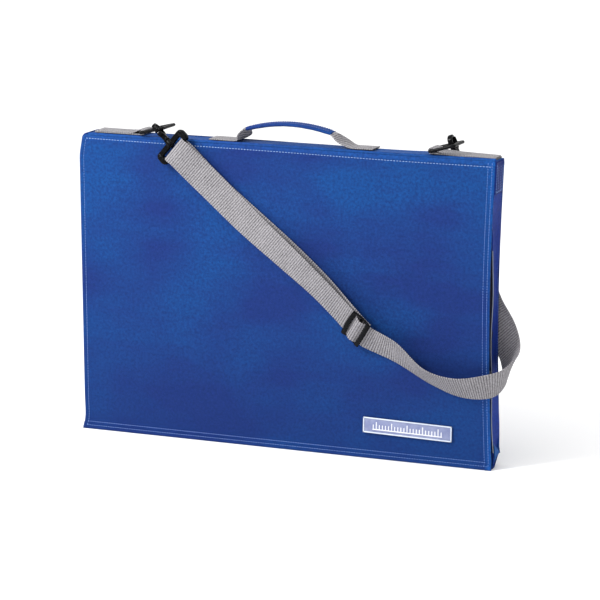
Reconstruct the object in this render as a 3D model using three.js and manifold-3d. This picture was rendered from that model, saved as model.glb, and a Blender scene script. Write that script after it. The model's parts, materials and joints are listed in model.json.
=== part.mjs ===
// Portfolio case: a flat upright fabric case for drawing boards, with a carrying handle, a side zip
// and an adjustable shoulder strap on two swivel snap hooks.
//
// Frame: millimetres, +X to the right, +Y to the back, +Z up. The origin is the middle of the
// underside, so the case stands on z = 0 and its front face is at y = -CASE_D / 2.

import * as THREE from 'three';
import { mergeVertices } from 'three/addons/utils/BufferGeometryUtils.js';
import Module from 'manifold-3d';

const wasm = await Module();
wasm.setup();

// ---- Driving dimensions ----
const CASE_W = 530;
const CASE_H = 370;
const CASE_D = 35;
const SKIN = 1.2; // coated fabric with its backing
const BOARD = 1.6; // stiffening board behind each large panel
const GAP = 0.3; // clearance between neighbouring pieces
const SIDE_BOW = 5; // how far the right side pulls in at half height
const CORNER_R = 7;

const WEBBING = 1.3; // thickness of all webbing
const STRAP_W = 35;
const TAB_W = 28; // webbing of the ring tabs and the handle

const ZIP_X = 257.5; // plane of the zip teeth, inside the right side
const ZIP_LOW = 14;
const ZIP_HIGH = 282;
const SLIT_LOW = 3;
const SLIT_HIGH = 292;
const SLIDER_Z = 112; // the zip is open above this height
const SLIT_EDGE_Y = -9.2; // gusset edge beside the closed zip
const SLIT_GAPE = 6; // how much further back that edge stands where the zip gapes most
const TEETH = { wide: 1.3, thick: 2.2 };

const HANDLE = { left: -52, right: 58, z: 385, rise: 8, width: 18, thick: 5 };
const RING = { wire: 4, width: 36.5, length: 31, corner: 3.4 }; // between wire centres
const RING_PIVOT_Z = CASE_H + GAP + WEBBING + GAP + RING.wire / 2;
const FRAME = { wire: 4.5, width: 41, height: 10.6, corner: 3.6 }; // between wire centres
const HOOK = { thick: 5, outer: 8.6, inner: 5.2, crown: 30, shoulder: 20, neck: 2.4 };
const GATE = { wide: 2.8, low: 25, high: 33, thick: 4, footGap: 0.8, tipGap: 0.4, travel: 2.1 };
const GLIDE = { width: 43, length: 27, thick: 2.6, bar: 5, centre: 4.4, slot: 36.5 };

const FRONT = -CASE_D / 2;
const BACK = CASE_D / 2;
const HALF_W = CASE_W / 2;
const INNER_Y = CASE_D / 2 - SKIN - GAP;

// ---- Materials ----
const plastic = (color) => new THREE.MeshStandardMaterial({ color, roughness: 0.45, metalness: 0 });
const cloth = (color) => new THREE.MeshStandardMaterial({ color, roughness: 0.85, metalness: 0 });
const NYLON = cloth(0x28489a);
const NYLON_LIGHT = cloth(0x3060a9);
const BOARD_GREY = cloth(0x8b8b86);
const WEB_GREY = cloth(0xa4a1a7);
const TAPE_BLACK = cloth(0x1b1c22);
const TEETH_BLACK = plastic(0x17181d);
const HARDWARE = plastic(0x24252b);
const BADGE = plastic(0x9da6c3);
const ZIP_METAL = new THREE.MeshStandardMaterial({ color: 0x2a2b30, roughness: 0.4, metalness: 0.8 });

// ---- Small helpers ----
const portfolio = new THREE.Group();

function add(name, geometry, material, parent = portfolio) {
  const mesh = new THREE.Mesh(geometry, material);
  mesh.name = name;
  parent.add(mesh);
  return mesh;
}

function box(x0, x1, y0, y1, z0, z1) {
  const geometry = new THREE.BoxGeometry(x1 - x0, y1 - y0, z1 - z0);
  return geometry.translate((x0 + x1) / 2, (y0 + y1) / 2, (z0 + z1) / 2);
}

function solid(geometry) {
  const bare = geometry.clone();
  bare.deleteAttribute('normal');
  bare.deleteAttribute('uv');
  const merged = mergeVertices(bare, 1e-4);
  return new wasm.Manifold(new wasm.Mesh({
    numProp: 3,
    vertProperties: new Float32Array(merged.attributes.position.array),
    triVerts: new Uint32Array(merged.index.array),
  }));
}

function fromSolid(manifold) {
  const mesh = manifold.getMesh();
  const geometry = new THREE.BufferGeometry();
  geometry.setAttribute('position', new THREE.BufferAttribute(mesh.vertProperties, 3));
  geometry.setIndex(new THREE.BufferAttribute(mesh.triVerts, 1));
  geometry.computeVertexNormals();
  return geometry;
}

const join = (...geometries) => fromSolid(wasm.Manifold.union(geometries.map(solid)));
const cut = (geometry, cutter) => fromSolid(solid(geometry).subtract(solid(cutter)));

const plate = (shape, depth, curveSegments = 8) => new THREE.ExtrudeGeometry(
  shape, { depth, bevelEnabled: false, curveSegments },
);

// A shape drawn in (x, z) and extruded along +Y from y0 to y1.
function extrudeY(shape, y0, y1, curveSegments = 8) {
  return plate(shape, y1 - y0, curveSegments).rotateX(Math.PI / 2).translate(0, y1, 0);
}

// A shape drawn in (y, z) and extruded along +X from x0 to x1.
function extrudeX(shape, x0, x1) {
  const turn = new THREE.Matrix4().set(0, 0, 1, 0, 1, 0, 0, 0, 0, 1, 0, 0, 0, 0, 0, 1);
  return plate(shape, x1 - x0).applyMatrix4(turn).translate(x0, 0, 0);
}

// A band of even thickness along a smooth plane curve, as a closed shape.
function bandShape(points, thickness, divisions) {
  const curve = new THREE.SplineCurve(points.map(([x, y]) => new THREE.Vector2(x, y)));
  const left = [];
  const right = [];
  for (let i = 0; i <= divisions; i += 1) {
    const p = curve.getPoint(i / divisions);
    const t = curve.getTangent(i / divisions);
    const side = new THREE.Vector2(-t.y, t.x).multiplyScalar(thickness / 2);
    left.push(p.clone().add(side));
    right.push(p.clone().sub(side));
  }
  return new THREE.Shape([...left, ...right.reverse()]);
}

// A closed wire loop with straight sides and round corners, lying in its local XY plane.
function wireLoop(width, length, corner, wire) {
  const around = 16;
  const loop = new THREE.TorusGeometry(corner, wire / 2, 8, around).rotateZ(Math.PI / around);
  const position = loop.attributes.position;
  const half = new THREE.Vector2(width / 2 - corner, length / 2 - corner);
  for (let i = 0; i < position.count; i += 1) {
    position.setX(i, position.getX(i) + Math.sign(position.getX(i)) * half.x);
    position.setY(i, position.getY(i) + Math.sign(position.getY(i)) * half.y);
  }
  return loop;
}

// A group whose local X, Y and Z lie along the given directions.
function frameAt(origin, xDirection, yDirection) {
  const y = new THREE.Vector3(...yDirection).normalize();
  const x = new THREE.Vector3(...xDirection);
  x.addScaledVector(y, -x.dot(y)).normalize();
  const z = new THREE.Vector3().crossVectors(x, y);
  const group = new THREE.Group();
  group.matrix.makeBasis(x, y, z).setPosition(...origin);
  group.matrix.decompose(group.position, group.quaternion, group.scale);
  portfolio.add(group);
  return group;
}

// A flat webbing run between two edge curves, given as [upper edge, lower edge] stations.
function ribbon(stations, segments) {
  const curve = (k) => new THREE.CatmullRomCurve3(stations.map((s) => new THREE.Vector3(...s[k])));
  const upper = curve(0);
  const lower = curve(1);
  const strip = new THREE.BoxGeometry(1, 1, 1, segments, 2, 1);
  const position = strip.attributes.position;
  for (let i = 0; i < position.count; i += 1) {
    const t = Math.min(Math.max(position.getX(i) + 0.5, 0), 1);
    const a = lower.getPoint(t);
    const b = upper.getPoint(t);
    const along = lower.getTangent(t).add(upper.getTangent(t));
    const normal = along.cross(b.clone().sub(a)).normalize();
    const p = a.lerp(b, position.getY(i) + 0.5).addScaledVector(normal, position.getZ(i) * WEBBING);
    position.setXYZ(i, p.x, p.y, p.z);
  }
  return strip;
}

// ---- Fabric shell ----
const rightEdge = (z) => HALF_W - SIDE_BOW * Math.sin((Math.PI * z) / CASE_H);
const heights = Array.from({ length: 13 }, (_, i) => (CASE_H * i) / 12);

function panelShape() {
  const shape = new THREE.Shape();
  shape.moveTo(-HALF_W, 0);
  heights.forEach((z) => shape.lineTo(rightEdge(z), z));
  shape.lineTo(-HALF_W + CORNER_R, CASE_H);
  shape.absarc(-HALF_W + CORNER_R, CASE_H - CORNER_R, CORNER_R, Math.PI / 2, Math.PI, false);
  return shape;
}

// A strip that follows the bowed right side between two heights, set in or out by `offset`.
function sideStrip(z0, z1, offset, thickness, y0, y1) {
  const steps = 12;
  const outer = [];
  for (let i = 0; i <= steps; i += 1) {
    const z = z0 + ((z1 - z0) * i) / steps;
    outer.push(new THREE.Vector2(rightEdge(z) + offset, z));
  }
  const inner = outer.map((p) => new THREE.Vector2(p.x - thickness, p.y)).reverse();
  return extrudeY(new THREE.Shape([...outer, ...inner]), y0, y1);
}

// Front edge of the right gusset: beside the teeth where the zip is shut, curved away where it
// is open.
function slitEdge(z) {
  const open = THREE.MathUtils.clamp((z - SLIDER_Z) / (ZIP_HIGH - SLIDER_Z), 0, 1);
  return SLIT_EDGE_Y + SLIT_GAPE * Math.sin(Math.PI * open);
}

function slitCutter() {
  const shape = new THREE.Shape();
  shape.moveTo(-INNER_Y - 1, SLIT_LOW);
  for (let i = 0; i <= 16; i += 1) {
    const z = SLIT_LOW + ((SLIT_HIGH - SLIT_LOW) * i) / 16;
    shape.lineTo(slitEdge(z), z);
  }
  shape.lineTo(-INNER_Y - 1, SLIT_HIGH);
  return extrudeX(shape, HALF_W - 15, HALF_W + 5);
}

function makeShell() {
  const panel = panelShape();
  add('front_panel', extrudeY(panel, FRONT, FRONT + SKIN), NYLON);
  add('back_panel', extrudeY(panel, BACK - SKIN, BACK), NYLON);
  const boardY = INNER_Y - BOARD;
  add('front_stiffener', box(-260, 244, -INNER_Y, -boardY, 3, 365), BOARD_GREY);
  add('back_stiffener', box(-260, 254, boardY, INNER_Y, 3, 365), BOARD_GREY);
  const sideLow = SKIN + GAP;
  const sideHigh = CASE_H - SKIN - GAP;
  const topLeft = -HALF_W + CORNER_R;
  add('top_gusset', box(topLeft, HALF_W, -INNER_Y, INNER_Y, CASE_H - SKIN, CASE_H), NYLON_LIGHT);
  add('bottom_gusset', box(-HALF_W, HALF_W, -INNER_Y, INNER_Y, 0, SKIN), NYLON);
  const left = new THREE.Shape();
  left.moveTo(-HALF_W, sideLow);
  left.lineTo(-HALF_W + SKIN, sideLow);
  left.lineTo(-HALF_W + SKIN, CASE_H - CORNER_R);
  left.absarc(-HALF_W + CORNER_R, CASE_H - CORNER_R, CORNER_R - SKIN, Math.PI, Math.PI * 0.56, true);
  left.absarc(-HALF_W + CORNER_R, CASE_H - CORNER_R, CORNER_R, Math.PI * 0.56, Math.PI, false);
  add('left_gusset', extrudeY(left, -INNER_Y, INNER_Y, 4), NYLON);
  const side = sideStrip(sideLow, sideHigh, 0, SKIN, -INNER_Y, INNER_Y);
  add('right_gusset', cut(side, slitCutter()), NYLON);
  add('side_patch', sideStrip(328, 368, GAP + 0.9, 0.9, -INNER_Y + 1, INNER_Y - 1), NYLON_LIGHT);
}

// ---- Side zip ----
function makeZip() {
  const frontTeethY = -15.6;
  const backTeethY = -13.2;
  const tapeBack = ZIP_X - TEETH.thick / 2 - GAP;
  const tapeY = [-INNER_Y, -INNER_Y + 0.7];
  add('zip_tape_front', box(tapeBack - 9, tapeBack, ...tapeY, ZIP_LOW, ZIP_HIGH), TAPE_BLACK);
  const teethX = [ZIP_X - TEETH.thick / 2, ZIP_X + TEETH.thick / 2];
  const frontY = [frontTeethY, frontTeethY + TEETH.wide];
  add('zip_teeth_front', box(...teethX, ...frontY, ZIP_LOW, ZIP_HIGH), TEETH_BLACK);

  // The back row of teeth and its tape follow the gusset's front edge.
  const backStrip = (x0, x1, from, to) => {
    const strip = new THREE.BoxGeometry(x1 - x0, 1, ZIP_HIGH - ZIP_LOW, 1, 1, 20);
    strip.translate((x0 + x1) / 2, 0, (ZIP_LOW + ZIP_HIGH) / 2);
    const position = strip.attributes.position;
    for (let i = 0; i < position.count; i += 1) {
      const shift = slitEdge(position.getZ(i)) - SLIT_EDGE_Y;
      position.setY(i, shift + (position.getY(i) > 0 ? to : from));
    }
    return strip;
  };
  const backY = [backTeethY, backTeethY + TEETH.wide];
  add('zip_teeth_back', backStrip(...teethX, ...backY), TEETH_BLACK);
  add('zip_tape_back', backStrip(ZIP_X - 0.35, ZIP_X + 0.35, -11.6, -2.6), TAPE_BLACK);

  const stopY = [frontTeethY, backTeethY + TEETH.wide];
  add('zip_bottom_stop', box(ZIP_X - 1.6, ZIP_X + 1.6, ...stopY, ZIP_LOW - 4, ZIP_LOW - GAP), ZIP_METAL);
  add('zip_top_stop_front', box(...teethX, ...frontY, ZIP_HIGH + GAP, ZIP_HIGH + 3.5), ZIP_METAL);
  add('zip_top_stop_back', box(...teethX, ...backY, ZIP_HIGH + GAP, ZIP_HIGH + 3.5), ZIP_METAL);

  // Slider: two plates round the teeth, joined by a thin web that runs between the rows.
  const half = 6;
  const plateX = TEETH.thick / 2 + GAP;
  const sliderZ = [SLIDER_Z - half, SLIDER_Z + half];
  const outerPlate = box(ZIP_X + plateX, ZIP_X + plateX + 1.2, -16, -9.4, ...sliderZ);
  const innerPlate = box(ZIP_X - plateX - 1.2, ZIP_X - plateX, -15.2, -9.4, ...sliderZ);
  const web = box(ZIP_X - plateX - 0.5, ZIP_X + plateX + 0.5, -13.95, -13.55, SLIDER_Z, SLIDER_Z + half);
  const bailX = ZIP_X + plateX + 1.1;
  const bailPart = (z0, z1, x1) => box(bailX, bailX + x1, -13.5, -12.1, z0, z1);
  const bailLow = bailPart(SLIDER_Z - 4, SLIDER_Z - 2.6, 2.9);
  const bailHigh = bailPart(SLIDER_Z + 2.6, SLIDER_Z + 4, 2.9);
  const bailTop = box(bailX + 2, bailX + 2.9, -13.5, -12.1, SLIDER_Z - 4, SLIDER_Z + 4);
  add('zip_slider', join(outerPlate, innerPlate, web, bailLow, bailHigh, bailTop), ZIP_METAL);

  // Pull: a flat tab hung on the bail through its eye.
  const pull = new THREE.Shape();
  pull.moveTo(-15.4, SLIDER_Z + 1.8);
  pull.lineTo(-15.1, SLIDER_Z - 18);
  pull.absarc(-12.8, SLIDER_Z - 18, 2.3, Math.PI, 2 * Math.PI, false);
  pull.lineTo(-10.2, SLIDER_Z + 1.8);
  const eye = new THREE.Path();
  eye.moveTo(-14.1, SLIDER_Z - 0.2);
  eye.lineTo(-11.5, SLIDER_Z - 0.2);
  eye.lineTo(-11.5, SLIDER_Z - 4.8);
  eye.lineTo(-14.1, SLIDER_Z - 4.8);
  pull.holes.push(eye);
  add('zip_pull', extrudeX(pull, bailX + 0.5, bailX + 1.5), ZIP_METAL);
}

// ---- Badge ----
function makeBadge() {
  const tag = new THREE.BoxGeometry(112, 1.2, 19).rotateY(0.015);
  add('badge', tag.translate(160, FRONT - GAP - 0.6, 40), BADGE);
}

// ---- Webbing tabs and rings on the top ----
function makeRing(side, pivotX, tabEnd, tilt) {
  const away = Math.sign(tabEnd - pivotX);
  const level = RING_PIVOT_Z;
  const radius = RING.wire / 2 + GAP + WEBBING / 2;
  const low = CASE_H + GAP + WEBBING / 2;
  const route = [[tabEnd, low], [pivotX + away * 14, low], [pivotX + away * 4, low]];
  for (let i = 0; i <= 8; i += 1) {
    const angle = -Math.PI / 2 - (away * Math.PI * i) / 8;
    route.push([pivotX + radius * Math.cos(angle), level + radius * Math.sin(angle)]);
  }
  route.push([pivotX + away * 4, level + radius - 0.5]);
  route.push([pivotX + away * 14, low + WEBBING + 0.4], [tabEnd, low + WEBBING + 0.4]);
  const tab = extrudeY(bandShape(route, WEBBING, 44), -TAB_W / 2, TAB_W / 2);
  add(`${side}_ring_tab`, tab, WEB_GREY);

  const ring = wireLoop(RING.length, RING.width, RING.corner, RING.wire);
  ring.translate(RING.length / 2, 0, 0).rotateY(-tilt).translate(pivotX, 0, level);
  add(`${side}_ring`, ring, HARDWARE);
}

// ---- Handle ----
const handleX = (HANDLE.left + HANDLE.right) / 2;
const handleArc = (x) => {
  const u = (x - handleX) / ((HANDLE.right - HANDLE.left) / 2);
  return HANDLE.z + HANDLE.rise * (1 - u * u);
};

function makeHandle() {
  const stations = (x0, x1, count) => Array.from({ length: count + 1 }, (_, i) => {
    const x = x0 + ((x1 - x0) * i) / count;
    return new THREE.Vector3(x, 0, handleArc(x));
  });
  const oval = new THREE.Shape().absellipse(0, 0, HANDLE.width / 2, HANDLE.thick / 2, 0, 2 * Math.PI);
  const hole = new THREE.Shape().absellipse(0, 0, HANDLE.width / 2 - 1.6, 1.6, 0, 2 * Math.PI);
  const sweep = (shape, x0, x1) => new THREE.ExtrudeGeometry(shape, {
    steps: 14,
    curveSegments: 6,
    bevelEnabled: false,
    extrudePath: new THREE.CatmullRomCurve3(stations(x0, x1, 6)),
  });
  const grip = sweep(oval, HANDLE.left, HANDLE.right);
  const bore = sweep(hole, HANDLE.left - 2, HANDLE.right + 2);
  add('handle_grip', cut(grip, bore), NYLON_LIGHT);
  const core = new THREE.Shape().absellipse(0, 0, HANDLE.width / 2 - 2.1, 1.25, 0, 2 * Math.PI);
  add('handle_core', sweep(core, HANDLE.left + 0.5, HANDLE.right - 0.5), WEB_GREY);

  // Legs climb from the flat anchors to the ends of the grip, narrowing from TAB_W to the grip.
  const low = CASE_H + GAP + WEBBING / 2;
  const leg = (name, footX, topX) => {
    const top = handleArc(topX < 0 ? HANDLE.left : HANDLE.right);
    const narrow = HANDLE.width / 2 - 2;
    const mid = [(footX + topX) / 2, (low + top) / 2];
    const station = (x, z, half) => [[x, half, z], [x, -half, z]];
    add(name, ribbon([
      station(footX, low, TAB_W / 2),
      station(mid[0], mid[1] - 1, TAB_W / 2 - 3),
      station(topX, top, narrow),
    ], 8), WEB_GREY);
  };
  leg('handle_leg_left', -60, HANDLE.left - 1.3);
  leg('handle_leg_right', 80, HANDLE.right + 1.3);

  const anchor = (name, x0, x1, slant) => {
    const shape = new THREE.Shape();
    shape.moveTo(x0, -TAB_W / 2);
    shape.lineTo(x1, -TAB_W / 2);
    shape.lineTo(x1 + slant, TAB_W / 2);
    shape.lineTo(x0, TAB_W / 2);
    add(name, plate(shape, WEBBING).translate(0, 0, CASE_H + GAP), WEB_GREY);
  };
  anchor('left_handle_anchor', -98, -61.2, 0);
  anchor('right_handle_anchor', 81.2, 108, 8);
}

// ---- Swivel snap hooks ----
// Local X runs across the hook, local Y along its shank from the strap to the tip.
function hookOutline() {
  const shape = new THREE.Shape();
  shape.moveTo(HOOK.neck, 11.4);
  shape.lineTo(HOOK.neck, HOOK.shoulder - 1);
  shape.quadraticCurveTo(HOOK.outer, HOOK.shoulder + 0.5, HOOK.outer, 27);
  shape.lineTo(HOOK.outer, HOOK.crown);
  shape.absarc(0, HOOK.crown, HOOK.outer, 0, Math.PI, false);
  shape.lineTo(-HOOK.outer, 27);
  shape.quadraticCurveTo(-HOOK.outer, HOOK.shoulder + 0.5, -HOOK.neck, HOOK.shoulder - 1);
  shape.lineTo(-HOOK.neck, 11.4);
  const mouth = new THREE.Path();
  mouth.moveTo(HOOK.inner, HOOK.crown);
  mouth.lineTo(HOOK.inner, 27);
  mouth.quadraticCurveTo(HOOK.inner, 22.8, 0, 22.8);
  mouth.quadraticCurveTo(-HOOK.inner, 22.8, -HOOK.inner, 27);
  mouth.lineTo(-HOOK.inner, HOOK.crown);
  mouth.absarc(0, HOOK.crown, HOOK.inner, Math.PI, 0, true);
  shape.holes.push(mouth);
  return shape;
}

function makeHook(side, origin, { shank, across, frameAcross }) {
  const holder = frameAt(origin, frameAcross, shank);
  const loop = wireLoop(FRAME.width, FRAME.height, FRAME.corner, FRAME.wire);
  const boss = new THREE.CylinderGeometry(4.2, 4.2, 8, 16).translate(0, 6.9, 0);
  const bore = new THREE.CylinderGeometry(2.3, 2.3, 10, 12).translate(0, 7, 0);
  const frame = fromSolid(solid(loop).add(solid(boss)).subtract(solid(bore)));
  add(`${side}_strap_frame`, frame, HARDWARE, holder);

  const turned = frameAt(origin, across, shank);
  const body = plate(hookOutline(), HOOK.thick, 6).translate(0, 0, -HOOK.thick / 2);
  const slotLow = GATE.low - GATE.footGap;
  const slotHigh = GATE.high + GATE.tipGap;
  const slotX = [-HOOK.outer - 2, GATE.travel - HOOK.inner];
  const slot = box(...slotX, slotLow, slotHigh, -HOOK.thick, HOOK.thick);
  const post = new THREE.CylinderGeometry(1.9, 1.9, 11, 12).translate(0, 6.6, 0);
  const head = new THREE.CylinderGeometry(3.2, 3.2, 1.2, 12).translate(0, 1.6, 0);
  const hook = fromSolid(solid(body).subtract(solid(slot)).add(solid(post)).add(solid(head)));
  add(`${side}_hook`, hook, HARDWARE, turned);

  const gate = new THREE.BoxGeometry(GATE.wide, GATE.high - GATE.low, GATE.thick);
  gate.translate(-(HOOK.outer + HOOK.inner) / 2, (GATE.high + GATE.low) / 2, 0);
  add(`${side}_gate`, gate, HARDWARE, turned);
  return holder;
}

// A section drawn in a holder's own (Y, Z) and extruded across the full width of the strap.
function acrossStrap(shape) {
  return extrudeX(shape, -STRAP_W / 2, STRAP_W / 2);
}

// Webbing folded round the outer bar of a strap frame.
function strapBend(name, holder) {
  const barY = -FRAME.height / 2;
  const radius = FRAME.wire / 2 + GAP + WEBBING / 2;
  const route = [[barY - 6, -radius], [barY - 2, -radius]];
  for (let i = 0; i <= 8; i += 1) {
    const angle = -Math.PI / 2 + (Math.PI * i) / 8;
    route.push([barY + radius * Math.cos(angle), radius * Math.sin(angle)]);
  }
  route.push([barY - 2, radius], [barY - 6, radius]);
  add(name, acrossStrap(bandShape(route, WEBBING, 30)), WEB_GREY, holder);
}

// ---- Strap ----
// Stations are [upper edge, lower edge] of the webbing, from the left hook round to the right hook.
const OUTER_RUN = [
  [[-118, -30.2, 367], [-141.1, -30.2, 340.7]],
  [[-100, -25, 350], [-124, -25, 323]],
  [[-76, -22, 328], [-101, -22, 302]],
  [[-31, -22, 290], [-54, -21.3, 264]],
  [[21, -30, 254], [-2, -21.3, 229]],
  [[66, -36, 218], [43, -21.6, 196]],
  [[89.6, -35.7, 189.8], [70.7, -21.1, 164.3]],
  [[99, -36.4, 182.4], [80.1, -21.8, 156.9]],
  [[109, -37.2, 174.6], [90.1, -22.6, 149.1]],
];
const INNER_RUN = [
  [[-117, -23.9, 366.1], [-140.2, -23.9, 339.9]],
  [[-99, -21, 350], [-123, -21, 323]],
  [[-75, -19.4, 329], [-100, -19.4, 303]],
  [[-28, -19.3, 292], [-51, -19.3, 266]],
  [[23, -21, 258], [-1, -19.3, 232]],
  [[64.2, -24, 224], [41.2, -19.3, 199]],
  [[91.8, -33.9, 192.2], [72.9, -19.3, 166.7]],
  [[105.1, -34.9, 181.7], [86.2, -20.3, 156.2]],
];
const FRONT_RUN = [
  [[109.4, -37.2, 174.2], [90.5, -22.6, 148.7]],
  [[118, -37.9, 167.6], [99.1, -23.2, 142.1]],
  [[126.5, -38.5, 160.9], [107.6, -23.9, 135.4]],
  [[153, -40, 149], [145, -20, 121]],
  [[191, -46, 121], [191, -20, 98]],
  [[227, -43, 113], [228, -20, 86]],
  [[260, -35, 118], [260, -19.5, 87]],
];
const SIDE_LOOP = [
  [[260.4, -34.8, 118.1], [260.4, -19.3, 87]],
  [[279, -27, 124], [271, -13, 92]],
  [[289, -14, 134], [276, 0, 104]],
  [[291.5, 1, 141], [273.5, 13, 113.5]],
  [[288.5, 12, 152.5], [266.5, 19.5, 126.5]],
];
const BACK_RUN = [
  [[288.3, 12.3, 152.9], [266.2, 19.7, 126.9]],
  [[279.5, 18.6, 172], [253.5, 21.8, 149]],
  [[266, 22, 203], [235, 22, 187]],
  [[248, 25, 250], [215, 25, 238.4]],
  [[237, 30, 303], [204, 30, 291.4]],
  [[229.5, 34.7, 348.1], [196.7, 34.5, 336.2]],
];
const SEWN_END = [
  [[230.1, 28.5, 346.7], [197.3, 28.3, 334.7]],
  [[233.5, 28.3, 330], [200.8, 28.3, 318]],
  [[239.5, 27.6, 305], [206.8, 27.6, 293]],
];

function makeStrap(leftHolder, rightHolder) {
  strapBend('strap_bend_left', leftHolder);
  strapBend('strap_bend_right', rightHolder);
  add('strap_outer_run', ribbon(OUTER_RUN, 24), WEB_GREY);
  add('strap_inner_run', ribbon(INNER_RUN, 24), WEB_GREY);
  add('strap_front_run', ribbon(FRONT_RUN, 16), WEB_GREY);
  add('strap_side_loop', ribbon(SIDE_LOOP, 16), WEB_GREY);
  add('strap_back_run', ribbon(BACK_RUN, 20), WEB_GREY);
  add('strap_sewn_end', ribbon(SEWN_END, 6), WEB_GREY);
}

// ---- Adjuster on the strap ----
// Local X runs across the strap, local Y along it towards the right, local Z away from the case.
function makeGlide() {
  const holder = frameAt([100.1, -32.6, 159.9], [-0.62, 0.42, -0.66], [0.79, -0.06, -0.62]);
  const shape = new THREE.Shape();
  const w = GLIDE.width / 2;
  const l = GLIDE.length / 2;
  const r = 3;
  shape.moveTo(w - r, -l);
  shape.absarc(w - r, -l + r, r, -Math.PI / 2, 0, false);
  shape.absarc(w - r, l - r, r, 0, Math.PI / 2, false);
  shape.absarc(-w + r, l - r, r, Math.PI / 2, Math.PI, false);
  shape.absarc(-w + r, -l + r, r, Math.PI, 1.5 * Math.PI, false);
  [-1, 1].forEach((sign) => {
    const near = (sign * GLIDE.centre) / 2;
    const far = sign * (l - GLIDE.bar);
    const hole = new THREE.Path();
    hole.moveTo(-GLIDE.slot / 2, near);
    hole.lineTo(GLIDE.slot / 2, near);
    hole.lineTo(GLIDE.slot / 2, far);
    hole.lineTo(-GLIDE.slot / 2, far);
    shape.holes.push(hole);
  });
  add('tri_glide', plate(shape, GLIDE.thick, 4).translate(0, 0, -GLIDE.thick / 2), HARDWARE, holder);

  // The strap runs under the whole adjuster; this hump of it comes up over the middle bar.
  const hump = [[-7.4, -0.9], [-5, 0.8], [-2.6, 2.3], [0, 2.6], [2.6, 2.3], [5, 0.8], [7.4, -0.9]];
  add('strap_glide_wrap', acrossStrap(bandShape(hump, WEBBING, 20)), WEB_GREY, holder);
}

makeShell();
makeZip();
makeBadge();
makeRing('left', -187, -250, 0.24);
makeRing('right', 184, 258, 0.28);
makeHandle();
const leftHolder = makeHook('left', [-139.5, -24.8, 360.6], {
  shank: [-0.75, 0.19, 0.64],
  across: [-0.13, 0.98, -0.15],
  frameAcross: [0.66, 0, 0.75],
});
const rightHolder = makeHook('right', [209, 28.2, 353.5], {
  shank: [-0.33, -0.25, 0.91],
  across: [0, -1, 0],
  frameAcross: [0.93, 0, 0.36],
});
makeStrap(leftHolder, rightHolder);
makeGlide();

export default portfolio;
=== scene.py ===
"""Looks for a portfolio case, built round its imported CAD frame.

Everything is in metres in the CAD's own frame: +X to the zipped side, +Y to the back, +Z up.
"""

import json
from math import asin, cos, pi, radians, sin

import bmesh
import bpy
import numpy as np
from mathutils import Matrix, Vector


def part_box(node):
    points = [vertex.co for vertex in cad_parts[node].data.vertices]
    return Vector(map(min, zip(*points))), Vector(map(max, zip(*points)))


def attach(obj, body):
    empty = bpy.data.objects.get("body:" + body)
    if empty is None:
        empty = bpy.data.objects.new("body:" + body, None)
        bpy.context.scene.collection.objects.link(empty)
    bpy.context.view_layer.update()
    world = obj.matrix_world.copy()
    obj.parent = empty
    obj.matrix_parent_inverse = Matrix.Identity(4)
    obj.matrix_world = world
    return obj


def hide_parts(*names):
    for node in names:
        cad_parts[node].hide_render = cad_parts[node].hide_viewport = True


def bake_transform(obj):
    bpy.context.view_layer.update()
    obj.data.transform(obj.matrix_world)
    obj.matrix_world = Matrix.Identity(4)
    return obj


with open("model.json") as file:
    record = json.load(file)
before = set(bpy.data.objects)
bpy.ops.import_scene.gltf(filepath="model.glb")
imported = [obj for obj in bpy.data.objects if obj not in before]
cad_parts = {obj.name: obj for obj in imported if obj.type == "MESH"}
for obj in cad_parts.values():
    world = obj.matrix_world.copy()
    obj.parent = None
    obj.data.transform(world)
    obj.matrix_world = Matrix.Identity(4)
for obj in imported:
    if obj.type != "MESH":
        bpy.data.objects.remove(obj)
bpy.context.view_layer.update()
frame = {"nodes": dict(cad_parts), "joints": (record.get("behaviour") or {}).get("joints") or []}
joints = {j["name"]: j for j in frame["joints"]}

# ---- Sizes ----
front_low, front_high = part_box("front_panel")
LEFT, RIGHT, TOP = front_low.x, front_high.x, front_high.z
FRONT_Y, BACK_Y = front_low.y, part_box("back_panel")[1].y
WIDTH = RIGHT - LEFT
INNER_Y = BACK_Y - 0.0017  # where the gussets meet the panels
SIDE_BOW = 0.005  # how far the right edge draws in at half height
CORNER = 0.007  # radius of the top left corner
CLOTH = 0.001  # thickness of the nylon

# Stitch rows, by their distance from a panel's edge.
TOP_BAND = 0.0085
LOW_ROWS = (0.0045, 0.009)
RIGHT_ROWS = (0.0035, 0.0085)
LEFT_ROW = 0.0052

WEB = 0.0013  # thickness of the webbing
STRAP_W = 0.035
TAB_W = 0.0245
RIB = 0.0029  # pitch of the webbing's ribs

# Sizes of stitches: their pitch, their length and the thread's radius.
PANEL_STITCH = (0.0032, 0.0021, 0.00036)
TOP_STITCH = (0.0038, 0.0025, 0.00045)
GUSSET_STITCH = (0.003, 0.0019, 0.0003)
PATCH_STITCH = (0.003, 0.0022, 0.00042)
GRIP_STITCH = (0.003, 0.0021, 0.0003)
TAB_STITCH = (0.0028, 0.0021, 0.0003)


# ---- Mesh helpers ----
def vec(*values):
    return np.array(values, float)


def xyz(x, y, z):
    """Points from coordinates that are arrays or single numbers."""
    return np.stack(np.broadcast_arrays(x, y, z), axis=-1).astype(float)


def unit(v):
    return v / np.linalg.norm(v, axis=-1, keepdims=True)


class Holder:
    """Local axes: x across the piece, y along it, z out of it."""

    def __init__(self, origin, across, along):
        self.origin = vec(*origin)
        self.y = unit(vec(*along))
        x = vec(*across)
        self.x = unit(x - self.y * x.dot(self.y))
        self.z = np.cross(self.x, self.y)

    def place(self, points):
        p = np.asarray(points, float)
        return self.origin + p[..., :1] * self.x + p[..., 1:2] * self.y + p[..., 2:] * self.z


def add_object(name, data):
    made = bpy.data.objects.new(name, data)
    bpy.context.scene.collection.objects.link(made)
    return made


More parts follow.
